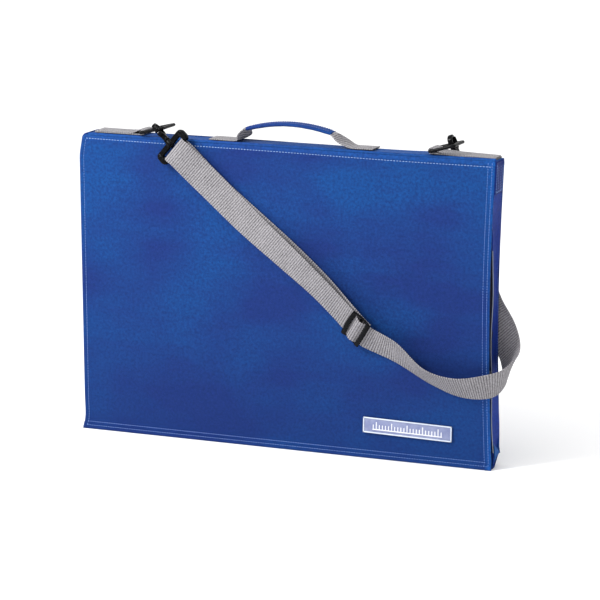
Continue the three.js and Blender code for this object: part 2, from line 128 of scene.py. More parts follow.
def aim(thing, place, way):
    """Puts a camera or a light in its place, looking along a direction."""
    thing.location = place
    thing.rotation_mode = "QUATERNION"
    thing.rotation_quaternion = way.to_track_quat("-Z", "Y")


def make_piece(name, shape, material, nodes=(), body="case", uv=None, smooth=True):
    """A mesh object from (points, faces), with outward faces, that stands for CAD nodes."""
    points, faces = shape
    mesh = bpy.data.meshes.new(name)
    mesh.from_pydata([tuple(p) for p in points], [], [tuple(f) for f in faces])
    if uv is not None:
        layer = mesh.uv_layers.new(name="UVMap")
        corners = np.zeros(len(mesh.loops), np.int32)
        mesh.loops.foreach_get("vertex_index", corners)
        layer.data.foreach_set("uv", np.asarray(uv, np.float32)[corners].ravel())
    skin = bmesh.new()
    skin.from_mesh(mesh)
    bmesh.ops.recalc_face_normals(skin, faces=skin.faces)
    skin.to_mesh(mesh)
    skin.free()
    mesh.polygons.foreach_set("use_smooth", [smooth] * len(mesh.polygons))
    mesh.materials.append(material)
    piece = add_object(name, mesh)
    if body:
        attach(piece, body)
    if nodes:
        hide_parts(*nodes)
    return piece


def grid_faces(rows, columns, closed=False):
    """Quads of a grid of points; closed joins the last column to the first."""
    faces = []
    for i in range(rows - 1):
        for j in range(columns if closed else columns - 1):
            k = (j + 1) % columns
            a = i * columns
            faces.append((a + j, a + k, a + columns + k, a + columns + j))
    return faces


def slab(outer, inward):
    """The closed solid between a grid of points and the same grid moved inward."""
    rows, columns = outer.shape[:2]
    points = np.concatenate([outer.reshape(-1, 3), (outer + inward).reshape(-1, 3)])
    half = rows * columns
    faces = grid_faces(rows, columns)
    faces += [tuple(i + half for i in f[::-1]) for f in faces]
    index = np.arange(half).reshape(rows, columns)
    rim = [*index[0], *index[1:, -1], *index[-1, -2::-1], *index[-2:0:-1, 0]]
    for a, b in zip(rim, rim[1:] + rim[:1], strict=True):
        faces.append((a, a + half, b + half, b))
    return points, faces


def tube(rings, closed=False):
    """A skin through rings of points, with flat ends unless the last ring meets the first."""
    count, around = rings.shape[:2]
    total = count * around
    faces = [tuple(i % total for i in f) for f in grid_faces(count + closed, around, closed=True)]
    if not closed:
        faces += [tuple(range(around))[::-1], tuple(range(total - around, total))]
    return rings.reshape(-1, 3), faces


def upright_tube(line, wide, deep):
    """A tube round a nearly upright line, with half sizes along X and Y."""
    angles = np.arange(8) * pi / 4
    return tube(line[:, None] + xyz(wide * np.cos(angles), deep * np.sin(angles), 0))


def rounded_box(centre, size, bevel):
    """A box with small bevelled edges."""
    made = bmesh.new()
    bmesh.ops.create_cube(made, size=1)
    for v in made.verts:
        v.co = Vector([c + s * k for c, s, k in zip(centre, size, v.co, strict=True)])
    bmesh.ops.bevel(made, geom=made.edges[:], offset=bevel, segments=2, affect="EDGES", profile=0.6)
    made.verts.ensure_lookup_table()
    points = np.array([v.co[:] for v in made.verts])
    faces = [tuple(v.index for v in f.verts) for f in made.faces]
    made.free()
    return points, faces


def merged(parts):
    """Several (points, faces) as one."""
    points, faces, start = [], [], 0
    for part_points, part_faces in parts:
        points.append(np.asarray(part_points, float))
        faces += [tuple(i + start for i in f) for f in part_faces]
        start += len(part_points)
    return np.concatenate(points), faces


def curve(points, per_span=12):
    """A centripetal Catmull-Rom curve through points, as a dense array."""
    p = np.asarray(points, float)
    p = np.concatenate([[2 * p[0] - p[1]], p, [2 * p[-1] - p[-2]]])
    out = []
    for a, b, c, d in zip(p, p[1:], p[2:], p[3:], strict=False):
        ta, tb, tc = (max(np.linalg.norm(v) ** 0.5, 1e-4) for v in (b - a, c - b, d - c))
        start = ((b - a) / ta - (c - a) / (ta + tb) + (c - b) / tb) * tb
        end = ((c - b) / tb - (d - b) / (tb + tc) + (d - c) / tc) * tb
        for k in range(per_span):
            t = k / per_span
            ahead = (2 * t**3 - 3 * t**2 + 1) * b + (t**3 - 2 * t**2 + t) * start
            out.append(ahead + (3 * t**2 - 2 * t**3) * c + (t**3 - t**2) * end)
    return np.array([*out, p[-2]])


def lengths(line):
    return np.concatenate([[0], np.cumsum(np.linalg.norm(np.diff(line, axis=0), axis=1))])


def resampled(line, along, at):
    return np.stack([np.interp(at, along, line[:, k]) for k in range(3)], axis=1)


def ramp(low, high, x):
    t = np.clip((x - low) / (high - low), 0, 1)
    return t * t * (3 - 2 * t)


def ridge(x, centre, width):
    return np.exp(-(((x - centre) / width) ** 2))


# ---- Camera, at the angle the case is seen from ----
AZIMUTH, ELEVATION = radians(22.6), radians(11.9)
DISTANCE = 3.583
TARGET = Vector((0.0149, 0, 0.1812))
level = cos(ELEVATION)
back_way = Vector((sin(AZIMUTH) * level, -cos(AZIMUTH) * level, sin(ELEVATION)))
camera = add_object("camera", bpy.data.cameras.new("camera"))
camera.data.lens = 179.5
camera.data.sensor_width = 36
camera.data.clip_end = 60
aim(camera, TARGET + back_way * DISTANCE, -back_way)
bpy.context.scene.camera = camera


# ---- Materials ----
class Nodes:
    """A principled material whose node links are made by short calls."""

    def __init__(self, name, **sockets):
        self.material = bpy.data.materials.new(name)
        self.material.use_nodes = True
        self.tree = self.material.node_tree
        self.shader = self.tree.nodes["Principled BSDF"]
        for socket, value in sockets.items():
            self.shader.inputs[socket.replace("_", " ")].default_value = value

    def link(self, value, socket):
        if isinstance(value, bpy.types.NodeSocket):
            self.tree.links.new(value, socket)
        elif socket.type == "RGBA":
            socket.default_value = (*value, 1)
        else:
            socket.default_value = value

    def add(self, kind, **inputs):
        node = self.tree.nodes.new(kind)
        for key, value in inputs.items():
            if hasattr(node, key):
                setattr(node, key, value)
            else:
                self.link(value, node.inputs[key.replace("_", " ")])
        return node

    def result(self, node, values, output=0):
        """The node's output, once values are linked to its numbered inputs."""
        for k, value in values.items():
            self.link(value, node.inputs[k])
        return node.outputs[output]

    def math(self, operation, a, b):
        return self.result(self.add("ShaderNodeMath", operation=operation), {0: a, 1: b})

    def times(self, a, b):
        return self.math("MULTIPLY", a, b)

    def plus(self, a, b):
        return self.math("ADD", a, b)

    def crossed(self, warp, weft):
        """1 where both yarns are up or both are down, as in a plain weave."""
        down = self.times(self.math("SUBTRACT", 1, warp), self.math("SUBTRACT", 1, weft))
        return self.plus(self.times(warp, weft), down)

    def mix(self, factor, a, b):
        return self.result(self.add("ShaderNodeMix", data_type="RGBA"), {0: factor, 6: a, 7: b}, 2)

    def stretch(self, value, low, high, to_low=0, to_high=1):
        values = enumerate((value, low, high, to_low, to_high))
        return self.result(self.add("ShaderNodeMapRange"), dict(values))

    def coordinates(self):
        return self.add("ShaderNodeTexCoord").outputs["Object"]

    def noise(self, vector, scale, detail=3, rough=0.5):
        node = self.add("ShaderNodeTexNoise", Vector=vector, Scale=scale, Detail=detail, Roughness=rough)
        return node.outputs[0]

    def wave(self, vector, axis, pitch, distortion=0):
        """A sine along an axis, from 0 to 1, repeating every pitch."""
        scale = pi / 10 / pitch
        bands = self.add("ShaderNodeTexWave", bands_direction=axis, Vector=vector, Scale=scale)
        bands.inputs["Distortion"].default_value = distortion
        return bands.outputs["Fac"]

    def bump(self, height, distance, strength, **below):
        """A bump; below is Normal=..., the coarser bump that it lies on."""
        sizes = {"Distance": distance, "Strength": strength}
        return self.add("ShaderNodeBump", Height=height, **sizes, **below).outputs[0]

    def finish(self, color, roughness=None, normal=None):
        for socket, value in (("Base Color", color), ("Roughness", roughness), ("Normal", normal)):
            if value is not None:
                self.link(value, self.shader.inputs[socket])
        return self.material


def scaled(color, factor):
    return tuple(min(1, c * factor) for c in color)


def woven(name, dark, light, axes, pitch=0.0011, hems=False):
    """Coated plain-weave nylon: crossed yarns, cloudy painted light and shade, and a slight sheen."""
    m = Nodes(name, Roughness=0.7, Sheen_Weight=0.025, Sheen_Roughness=0.4, Specular_IOR_Level=0.07)
    where = m.coordinates()
    crossed = m.crossed(m.wave(where, axes[0], pitch), m.wave(where, axes[1], pitch))
    slanted = m.add("ShaderNodeMapping", Vector=where, Rotation=(0, 0.55, 0), Scale=(6, 15, 22))
    streaks = m.noise(slanted.outputs[0], 1, 4, 0.55)
    # The clouds are painted light and shade: the soft waves of the stiffened cloth, lit and shaded in its
    # colour.
    clouds = m.plus(m.times(m.noise(where, 7.5, 2, 0.45), 0.6), m.times(streaks, 0.4))
    slubs = m.stretch(m.noise(where, 300, 3, 0.65), 0.32, 0.68)
    base = m.mix(m.stretch(clouds, 0.42, 0.6), dark, light)
    if hems:
        # A panel is darker towards its foot, a painted shade, and its folded hems are lighter, a painted
        # highlight where they catch the light.
        axis = m.add("ShaderNodeSeparateXYZ", Vector=where).outputs
        wear_and_shade = m.stretch(axis["Z"], 0, TOP * 0.8)
        base = m.mix(wear_and_shade, m.mix(0.55, base, scaled(dark, 0.62)), base)
        top = m.stretch(axis["Z"], TOP - TOP_BAND - 0.0006, TOP - TOP_BAND + 0.0012)
        fold = m.stretch(axis["X"], RIGHT - SIDE_BOW - 0.0042, RIGHT - 0.0018)
        wear_and_highlight = m.plus(m.times(top, 0.35), m.times(fold, 0.75))
        base = m.mix(m.stretch(wear_and_highlight, 0, 1), base, scaled(light, 1.7))
    shade = m.mix(m.times(slubs, 0.68), base, scaled(dark, 0.45))
    color = m.mix(m.times(crossed, 0.2), shade, scaled(light, 1.6))
    height = m.plus(crossed, m.times(slubs, 0.6))
    puckers = m.plus(m.times(m.noise(where, 26, 3, 0.55), 0.4), streaks)
    crease = m.bump(puckers, 0.005, 0.42)
    roughness = m.stretch(m.noise(where, 60), 0.3, 0.7, 0.6, 0.74)
    return m.finish(color, roughness, m.bump(height, 0.00009, 0.6, Normal=crease))


def webbing_material(name, dark, light):
    """Polypropylene webbing: ribs across the strip, broken up by the yarns that cross them."""
    m = Nodes(name, Roughness=0.6, Sheen_Weight=0.06, Sheen_Roughness=0.5, Specular_IOR_Level=0.25)
    uv = m.add("ShaderNodeUVMap", uv_map="UVMap").outputs[0]
    ribs = m.wave(uv, "Y", RIB)
    crossed = m.crossed(m.wave(uv, "X", 0.0019), ribs)
    fuzz = m.noise(uv, 620, 3, 0.65)
    worn = m.stretch(m.noise(uv, 45), 0.35, 0.65)
    specks = m.stretch(m.noise(uv, 480, 2, 0.7), 0.36, 0.64)
    # Painted shade: the webbing is darker in the grooves between its ribs.
    grooves = m.stretch(ribs, 0, 0.5)
    tone = m.plus(m.times(grooves, 0.46), m.times(crossed, 0.2))
    tone = m.plus(tone, m.times(specks, 0.34))
    color = m.mix(m.stretch(tone, 0.22, 0.95), dark, light)
    wear_and_shade = m.mix(m.times(worn, 0.12), color, scaled(light, 1.2))
    height = m.plus(m.times(crossed, 1.1), m.times(fuzz, 0.6))
    return m.finish(wear_and_shade, m.stretch(fuzz, 0.3, 0.7, 0.52, 0.7), m.bump(height, 0.00014, 0.8))


def moulded(name, base, worn, roughness, metallic=0, grain=0.00002, gloss=0.5):
    """Moulded plastic or coated metal: fine grain, faint scuffs, edges rubbed lighter."""
    m = Nodes(name, Roughness=roughness, Metallic=metallic, Specular_IOR_Level=gloss)
    where = m.coordinates()
    edges = m.stretch(m.add("ShaderNodeNewGeometry").outputs["Pointiness"], 0.51, 0.6)
    scuffs = m.stretch(m.noise(where, 320, 4, 0.7), 0.5, 0.75)
    wear_and_highlight = m.times(edges, m.stretch(m.noise(where, 90), 0.35, 0.6))
    color = m.mix(m.times(wear_and_highlight, 0.7), base, worn)
    scuffed = m.mix(m.times(scuffs, 0.25), color, worn)
    rough = m.stretch(scuffs, 0, 1, roughness, min(1, roughness + 0.22))
    return m.finish(scuffed, rough, m.bump(m.noise(where, 1400, 2), grain, 0.5))


def thread_material(name, dark, light):
    """Sewing thread: a fine slanting twist over a slowly changing tone."""
    m = Nodes(name, Roughness=0.5, Sheen_Weight=0.15)
    where = m.coordinates()
    twist = m.wave(where, "DIAGONAL", pi / 9000, 0.5)
    tone = m.plus(m.times(twist, 0.5), m.times(m.noise(where, 30), 0.5))
    color = m.mix(m.stretch(tone, 0.3, 0.7), dark, light)
    return m.finish(color, 0.5, m.bump(twist, 0.00008, 0.6))


BLUE = (0.011, 0.0235, 0.142), (0.0065, 0.057, 0.222)
BRIGHT = (0.008, 0.044, 0.19), (0.01, 0.068, 0.255)
SIDE = (0.0076, 0.023, 0.176), (0.008, 0.0335, 0.236)
TUCK = (0.01, 0.062, 0.25), (0.013, 0.09, 0.32)
TAPE = (0.006, 0.006, 0.008), (0.012, 0.012, 0.015)
nylon_xz = woven("nylon_panel", *BLUE, "XZ", hems=True)
nylon_yz = woven("nylon_side", *SIDE, "YZ")
nylon_xy = woven("nylon_top", *BRIGHT, "XY")
nylon_low = woven("nylon_base", *BLUE, "XY")
nylon_grip = woven("nylon_grip", *BLUE, "XY", 0.0009)
nylon_patch = woven("nylon_patch", SIDE[0], BLUE[0], "YZ")
nylon_tuck = woven("nylon_tuck", *TUCK, "YZ")
tape_back = woven("zip_tape_black", *TAPE, "YZ", 0.0008)
tape_front = woven("zip_tape_front_black", *TAPE, "XZ", 0.0008)
webbing_grey = webbing_material("webbing_grey", (0.038, 0.035, 0.04), (0.345, 0.332, 0.35))
board_grey = moulded("board_grey", (0.26, 0.26, 0.24), (0.34, 0.34, 0.32), 0.75, grain=0.00006)
hardware_black = moulded("hardware_black", (0.002, 0.002, 0.0025), (0.022, 0.023, 0.026), 0.2, gloss=0.06)
teeth_black = moulded("teeth_black", (0.004, 0.004, 0.005), (0.03, 0.03, 0.035), 0.4, gloss=0.12)
zip_dark = moulded("zip_dark_metal", (0.05, 0.05, 0.055), (0.32, 0.32, 0.34), 0.34, 0.85)
badge_field = moulded("badge_field", (0.155, 0.18, 0.33), (0.31, 0.34, 0.48), 0.4)
badge_frame = moulded("badge_frame", (0.5, 0.55, 0.65), (0.7, 0.74, 0.8), 0.3)
badge_white = moulded("badge_white", (0.66, 0.67, 0.72), (0.8, 0.81, 0.85), 0.35)
# A pale material for the tube that paints the highlight along the slit's folded edge.
piping_pale = thread_material("piping_pale", (0.13, 0.15, 0.2), (0.34, 0.37, 0.44))
thread_pale = thread_material("thread_pale", (0.13, 0.24, 0.52), (0.36, 0.49, 0.76))
thread_blue = thread_material("thread_blue", (0.05, 0.13, 0.42), (0.2, 0.34, 0.66))
thread_dark = thread_material("thread_dark", (0.03, 0.05, 0.24), (0.1, 0.16, 0.42))
thread_grey = thread_material("thread_grey", (0.26, 0.26, 0.28), (0.46, 0.46, 0.49))


# ---- Stitching ----
def stitches(path, normals, size=PANEL_STITCH):
    """A row of short thread loops lying along a path; normals may be one vector for all of it."""
    pitch, length, radius = size
    normals = np.broadcast_to(normals, path.shape)
    along = lengths(path)
    at = (np.arange(int(along[-1] / pitch)) + 0.5) * pitch
    centre = resampled(path, along, at)
    ahead = unit(resampled(path, along, at + 0.0004) - resampled(path, along, at - 0.0004))
    up = resampled(normals, along, at)
    up = unit(up - ahead * (up * ahead).sum(1, keepdims=True))
    side = np.cross(ahead, up)
    # One loop: five rings of six points, humped in the middle and thin at both ends.
    t = vec(-1, -0.75, 0, 0.75, 1)[:, None]
    r = vec(0.25, 0.8, 1, 0.8, 0.25)[:, None]
    angles = np.arange(6) * pi / 3
    hump = 0.35 * (1 - t * t) - 0.15
    loop = xyz(t * length / 2, radius * r * np.cos(angles), radius * (r * np.sin(angles) + hump))
    axes = np.stack([ahead, side, up], axis=1)
    return merged([tube(c + loop @ a) for c, a in zip(centre, axes, strict=True)])


def sew(name, rows, thread, body="case"):
    """One piece with a row of stitches for each (path, normals) or (path, normals, size)."""
    make_piece(name, merged([stitches(*row) for row in rows]), thread, body=body)


# ---- Case shell ----
def right_edge(z):
    return RIGHT - SIDE_BOW * np.sin(pi * np.clip(z, 0, TOP) / TOP)


def waves(x, z, phase):
    """Soft creases of a stiffened cloth panel, between -1 and 1."""
    a = np.sin(2 * pi * (0.85 * x + 0.53 * z) / 0.235 + phase)
    b = np.sin(2 * pi * (0.35 * x - 0.94 * z) / 0.31 + 1.7 * phase + 0.4)
    c = np.sin(2 * pi * (0.7 * x + 0.71 * z) / 0.118 + 2.3 * phase)
    return 0.5 * a + 0.35 * b + 0.15 * c * a


def left_bulge(z):
    """How far the left edge stands out; it draws in at the top corner and towards the foot."""
    rise = 0.0006 + 0.0011 * ramp(0, 0.05, z) + 0.0024 * z / TOP
    return rise * ramp(TOP, TOP - 0.032, z)


def top_row(share):
    """Distance of the top stitch row below the edge; it drifts lower to the right."""
    return TOP_BAND - 0.0018 + 0.003 * share


def top_sag(x, y):
    """How far the top has sunk: along its back edge, and behind the front hem at the right end."""
    edge = 0.0018 * ridge(x, 0.115, 0.07) * ramp(0.01, BACK_Y, y)
    end = 0.0027 * ramp(RIGHT - 0.075, RIGHT - 0.03, x) * ramp(-INNER_Y, -INNER_Y + 0.005, y)
    return edge + end


def panel_surface(x, z, side):
    """A panel's outer surface at nominal (x, z); side is -1 in front and 1 behind."""
    left, right, low, high = x - LEFT, RIGHT - x, z, TOP - z
    share = np.clip(left / WIDTH, 0, 1)
    edge = np.minimum(np.minimum(left, right), np.minimum(low, high))
    out = -0.0009 + 0.0013 * waves(x, z, 0.9 - 1.3 * side) * ramp(0.008, 0.07, edge)
    # Hems stand proud as far as their stitch row, which draws in a furrow.
    hems = [(left, LEFT_ROW), (high, top_row(share)), (low, LOW_ROWS[1]), (right, RIGHT_ROWS[1])]
    for distance, row in hems:
        out = out + 0.00035 * (1 - ramp(row - 0.0012, row + 0.0012, distance))
    for distance, row in [*hems, (low, LOW_ROWS[0]), (right, RIGHT_ROWS[0])]:
        out = out - 0.00035 * ridge(distance, row, 0.0009)
    # The panel leans in at its top, out at its foot, and rolls over at its edges.
    out = out - 0.003 * (1 - ramp(-0.003, TOP_BAND, high)) ** 1.5
    out = out + 0.0022 * (1 - ramp(-0.002, 0.014, low)) ** 1.5
    out = out - 0.0007 * (1 - ramp(-0.0004, 0.0016, edge))
    face = FRONT_Y if side < 0 else BACK_Y
    px = x + (right_edge(z) - RIGHT) * share**2
    px = px - 0.003 * ridge(low, 0, 0.012) * ridge(left, 0, 0.02)
    pz = z - 0.0005 * (1 + np.sin(x * 21 + side)) * share * (z / TOP) ** 4
    pz = pz - top_sag(x, face) * (z / TOP) ** 6
    # The top left corner is a quarter circle: the square corner is drawn in onto it.
    dx, dz = (LEFT + CORNER) - px, pz - (TOP - CORNER)
    square = np.maximum(dx, dz)
    reach = np.hypot(dx, dz)
    pull = np.where((dx > 0) & (dz > 0), square / np.maximum(reach, 1e-9), 1)
    px = np.where(pull < 1, (LEFT + CORNER) - dx * pull, px)
    pz = np.where(pull < 1, (TOP - CORNER) + dz * pull, pz)
    px = px - left_bulge(z) * (1 - share) ** 9
    if side > 0:
        # The lower back corner is drawn up where the side folds in on itself.
        drawn = (1 - ramp(0, 0.035, right)) * (1 - ramp(0, 0.045, low))
        pz = pz + 0.014 * drawn
        out = out - 0.004 * drawn
    return xyz(px, face + side * out, pz)


def panel_normals(x, z, side):
    step = 0.0004
    across = panel_surface(x + step, z, side) - panel_surface(x - step, z, side)
    upward = panel_surface(x, z + step, side) - panel_surface(x, z - step, side)
    return unit(np.cross(across, upward)) * (1 if side < 0 else -1)


def fine_edges(low, high, edge=0.014, fine=0.0008, coarse=0.004):
    """Values from low to high, close together near both ends."""
    near = np.arange(0, edge, fine)
    middle = np.linspace(edge, high - low - edge, int((high - low - 2 * edge) / coarse))
    return low + np.concatenate([near, middle, (high - low) - near[::-1]])


def make_board(name, side):
    """The stiffener inside a panel, which has taken the cloth's soft waves."""
    node = f"{name}_stiffener"
    low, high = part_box(node)
    gap, thickness = 0.0004, 0.0016
    x, z = np.meshgrid(np.linspace(low.x, high.x, 70), np.linspace(low.z, high.z, 50))
    outer = panel_surface(x, z, side) - vec(0, side * (CLOTH + gap), 0)
    shape = slab(outer, vec(0, -side * thickness, 0))
    make_piece(f"{name}_panel_cloth_board", shape, board_grey, [node])


def make_panel(name, side):
    outer = panel_surface(*np.meshgrid(fine_edges(LEFT, RIGHT), fine_edges(0, TOP)), side)
    shape = slab(outer, vec(0, -side * CLOTH, 0))
    piece = make_piece(f"{name}_panel_cloth", shape, nylon_xz, [f"{name}_panel"])


def row_on_panel(xs, zs, side):
    """A stitch row's path and normals, between two points of the nominal panel."""
    x = np.linspace(*xs, 160)
    z = np.linspace(*zs, 160)
    return panel_surface(x, z, side), panel_normals(x, z, side)


def make_panel_stitching(name, side):
    inset = 0.004
    first, last = LEFT + LEFT_ROW, RIGHT - inset
    rows = [row_on_panel((first, first), (inset, TOP - top_row(0)), side)]
    rows += [row_on_panel((LEFT + inset, last), (z, z), side) for z in LOW_ROWS]
    rows += [row_on_panel((RIGHT - d, RIGHT - d), (inset, TOP - inset), side) for d in RIGHT_ROWS]
    sew(f"{name}_panel_stitching", rows, thread_blue)
    top = row_on_panel((first, last), (TOP - top_row(0), TOP - top_row(1)), side)
    sew(f"{name}_panel_stitching_top", [(*top, TOP_STITCH)], thread_pale)


# ---- Top, bottom and left gussets ----
GUSSET_HALF = INNER_Y + 0.0004
GUSSET_YS = np.linspace(-GUSSET_HALF, GUSSET_HALF, 25)


def make_gusset(side, line, normals, shift, look, thickness=CLOTH):
    """A strip of cloth across GUSSET_YS that follows a line, moved by shift along its normals."""
    n = np.broadcast_to(normals, line.shape)[:, None]
    outer = xyz(line[:, :1], GUSSET_YS, line[:, 2:]) + n * shift[..., None]
    shape = slab(outer, -thickness * n)
    piece = make_piece(f"{side}_gusset_cloth", shape, look, [f"{side}_gusset"])


def make_gussets():
    line = xyz(np.linspace(LEFT + CORNER, RIGHT - 0.0008, 150), 0, TOP - 0.0004)
    x, y = np.meshgrid(line[:, 0], GUSSET_YS, indexing="ij")
    arch = np.cos(y / GUSSET_HALF * pi / 2)
    crown = 0.0008 * np.sin(x * 31 + 0.8) * arch - 0.0016 * np.abs(y / GUSSET_HALF) ** 6 - top_sag(x, y)
    make_gusset("top", line, vec(0, 0, 1), crown, nylon_xy)

    # The base's back corner is drawn up where the right side folds in on itself.
    line = xyz(np.linspace(LEFT + 0.001, RIGHT - 0.001, 60), 0, 0)
    x, y = np.meshgrid(line[:, 0], GUSSET_YS, indexing="ij")
    raised = -0.0145 * (1 - ramp(0, 0.035, RIGHT - x)) * ramp(-0.006, GUSSET_HALF, y)
    make_gusset("bottom", line, vec(0, 0, -1), raised, nylon_low, 0.0012)

    # The left side runs up and bends over onto the top.
    z = np.linspace(0.0012, TOP - CORNER, 90)
    rising = xyz(LEFT - left_bulge(z), 0, z)
    angles = np.linspace(pi, pi * 0.52, 12)[1:]
    bend = xyz(np.cos(angles), 0, np.sin(angles))
    line = np.concatenate([rising, vec(LEFT + CORNER, 0, TOP - CORNER) + bend * CORNER])
    normals = np.concatenate([np.tile(vec(-1, 0, 0), (len(z), 1)), bend])
    rise = line[:, 2:]
    hollow = -0.0012 * np.sin(pi * rise / TOP) * np.cos(GUSSET_YS / GUSSET_HALF * pi / 2)
    make_gusset("left", line, normals, hollow, nylon_yz)


# ---- Right side and its zip ----
slider_low, slider_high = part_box("zip_slider")
teeth_low, teeth_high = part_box("zip_teeth_front")
ZIP_X = (teeth_low.x + teeth_high.x) / 2
ZIP_LOW, ZIP_HIGH = teeth_low.z, teeth_high.z
SLIDER_Z = (slider_low.z + slider_high.z) / 2
SLIT_TOP = ZIP_HIGH + 0.01
HIGHLIGHT_TOP = SLIT_TOP - 0.03
SLIT_EDGE_Y = -0.0092
SLIT_GAPE = 0.006
OUTWARD = vec(1, 0, 0)


def gape(z):
    """How far the open zip's back half stands away from its closed line."""
    share = np.clip((z - SLIDER_Z) / (ZIP_HIGH - SLIDER_Z), 0, 1)
    return SLIT_GAPE * np.sin(pi * share)


def side_point(y, z):
    """The right gusset's outer surface at nominal (y, z)."""
    middle = 1 - (y / INNER_Y) ** 2
    x = right_edge(z) - 0.0016 * middle * np.sin(pi * z / TOP) - 0.0004
    x = x - 0.0007 * np.sin(z * 55 + y * 120)
    drawn = (1 - ramp(0, 0.045, z)) * ramp(-INNER_Y, INNER_Y, y)
    sunk = top_sag(RIGHT, y) * (z / TOP) ** 6
    return xyz(x - 0.0015 * drawn, y, z + 0.015 * drawn - sunk)


def make_right_gusset():
    zs = np.linspace(0.0015, TOP - 0.0015, 260)
    shut = ramp(SLIT_TOP - 0.012, SLIT_TOP + 0.004, zs)
    front = (SLIT_EDGE_Y + gape(zs)) * (1 - shut) - INNER_Y * shut
    y = front[:, None] + (INNER_Y - front[:, None]) * np.linspace(0, 1, 22)
    outer = side_point(y, zs[:, None])
    # The slit's edge is folded over: a small round roll along it, with a pale tube along it that is a
    # painted highlight.
    outer[..., 0] += ridge(y - front[:, None], 0.0006, 0.0009) * 0.0009
    lit_span = (zs > 0.018) & (zs < HIGHLIGHT_TOP)
    edge = (side_point(front, zs) + vec(0.0009, -0.0002, 0))[lit_span]
    lit_tube = upright_tube(edge, 0.00055, 0.00055)
    make_piece("slit_piping", lit_tube, piping_pale)
    shape = slab(outer, -CLOTH * OUTWARD)
    piece = make_piece("right_gusset_cloth", shape, nylon_yz, ["right_gusset"])

    z_row = np.linspace(0.004, TOP - 0.044, 200)
    y_rows = (np.interp(z_row, zs, front) + 0.0022, 0 * z_row + 0.0141)
    rows = [(side_point(y_row, z_row), OUTWARD, GUSSET_STITCH) for y_row in y_rows]
    sew("right_gusset_stitching", rows, thread_dark)


def make_side_patch():
    low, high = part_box("side_patch")
    y, z = np.meshgrid(np.linspace(low.y, high.y, 20), np.linspace(low.z, high.z - 0.0006, 50))
    edge = np.minimum(np.minimum(y - low.y, high.y - y), np.minimum(z - low.z, high.z - z))
    lift = 0.0009 * ramp(-0.0005, 0.0022, edge) - 0.0005 * ridge(edge, 0.003, 0.0009)
    outer = side_point(y, z) + (lift + 0.0004)[..., None] * OUTWARD
    shape = slab(outer, -0.0008 * OUTWARD)
    make_piece("side_patch_cloth", shape, nylon_patch, ["side_patch"])
    inset, second = 0.003, 0.01
    z_row = np.linspace(low.z + inset, high.z - inset, 60)
    y_row = np.linspace(low.y + inset, high.y - inset, 60)
    uprights = (low.y + inset, low.y + second, high.y - second, high.y - inset)
    rows = [(0 * z_row + y, z_row) for y in uprights]
    rows.append((y_row, 0 * y_row + low.z + inset))
    rows = [(side_point(*row) + OUTWARD * 0.0011, OUTWARD, PATCH_STITCH) for row in rows]
    sew("side_patch_stitching", rows, thread_blue)


def make_corner_tuck():
    """The base's end, folded up over the gusset's lower corner as a small triangle."""
    top, far, low = (-0.0074, 0.0305), (0.0122, 0.0165), (-0.0074, 0.008)
    t = np.linspace(0, 1, 16)
    s, u = np.meshgrid(t, t)
    y, z = ((1 - s) * (top[k] + (low[k] - top[k]) * u) + s * far[k] for k in (0, 1))
    lift = 0.0006 + 0.0014 * (1 - s) * np.sin(pi * u) + 0.0003 * np.sin(u * 9)
    outer = xyz(right_edge(z) + lift, y, z)
    make_piece("corner_tuck", slab(outer, -0.0009 * OUTWARD), nylon_tuck)


def make_zip_teeth(half, y_low, opening, cord_y, start):
    """One row of teeth and the cord that they are moulded onto; opening is 1 where it gapes."""
    pitch, tooth = 0.0026, 0.0014
    thick = teeth_high.x - teeth_low.x
    parts = []
    for i in range(int((ZIP_HIGH - ZIP_LOW) / pitch)):
        z = ZIP_LOW + (i + start) * pitch
        y = y_low + 0.00065 + opening * float(gape(z))
        parts.append(rounded_box((ZIP_X, y, z), (thick, tooth, tooth), 0.0003))
    zs = np.linspace(ZIP_LOW, ZIP_HIGH, 120)
    line = xyz(ZIP_X, y_low + cord_y + opening * gape(zs), zs)
    parts.append(upright_tube(line, 0.0008, 0.0004))
    node = f"zip_teeth_{half}"
    make_piece(f"zip_{half}_teeth", merged(parts), teeth_black, [node], smooth=False)


def make_zip():
    make_zip_teeth("front", teeth_low.y, 0, 0.0003, 0.25)
    make_zip_teeth("back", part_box("zip_teeth_back")[0].y, 1, 0.001, 0.5)

    t = np.linspace(0, 1, 9)
    z = np.linspace(ZIP_LOW, ZIP_HIGH, 120)[:, None]
    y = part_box("zip_tape_back")[0].y + gape(z) + 0.009 * t
    ripple = 0.0002 * np.sin(z * 400)
    outer = xyz(ZIP_X + 0.00035 + ripple * t, y, z)
    shape = slab(outer, -0.0007 * OUTWARD)
    make_piece("zip_back_tape", shape, tape_back, ["zip_tape_back"])

    low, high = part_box("zip_tape_front")
    outer = xyz(np.linspace(low.x, high.x, 9), high.y + ripple - 0.0002, z)
    shape = slab(outer, vec(0, -0.0006, 0))
    make_piece("zip_front_tape", shape, tape_front, ["zip_tape_front"])


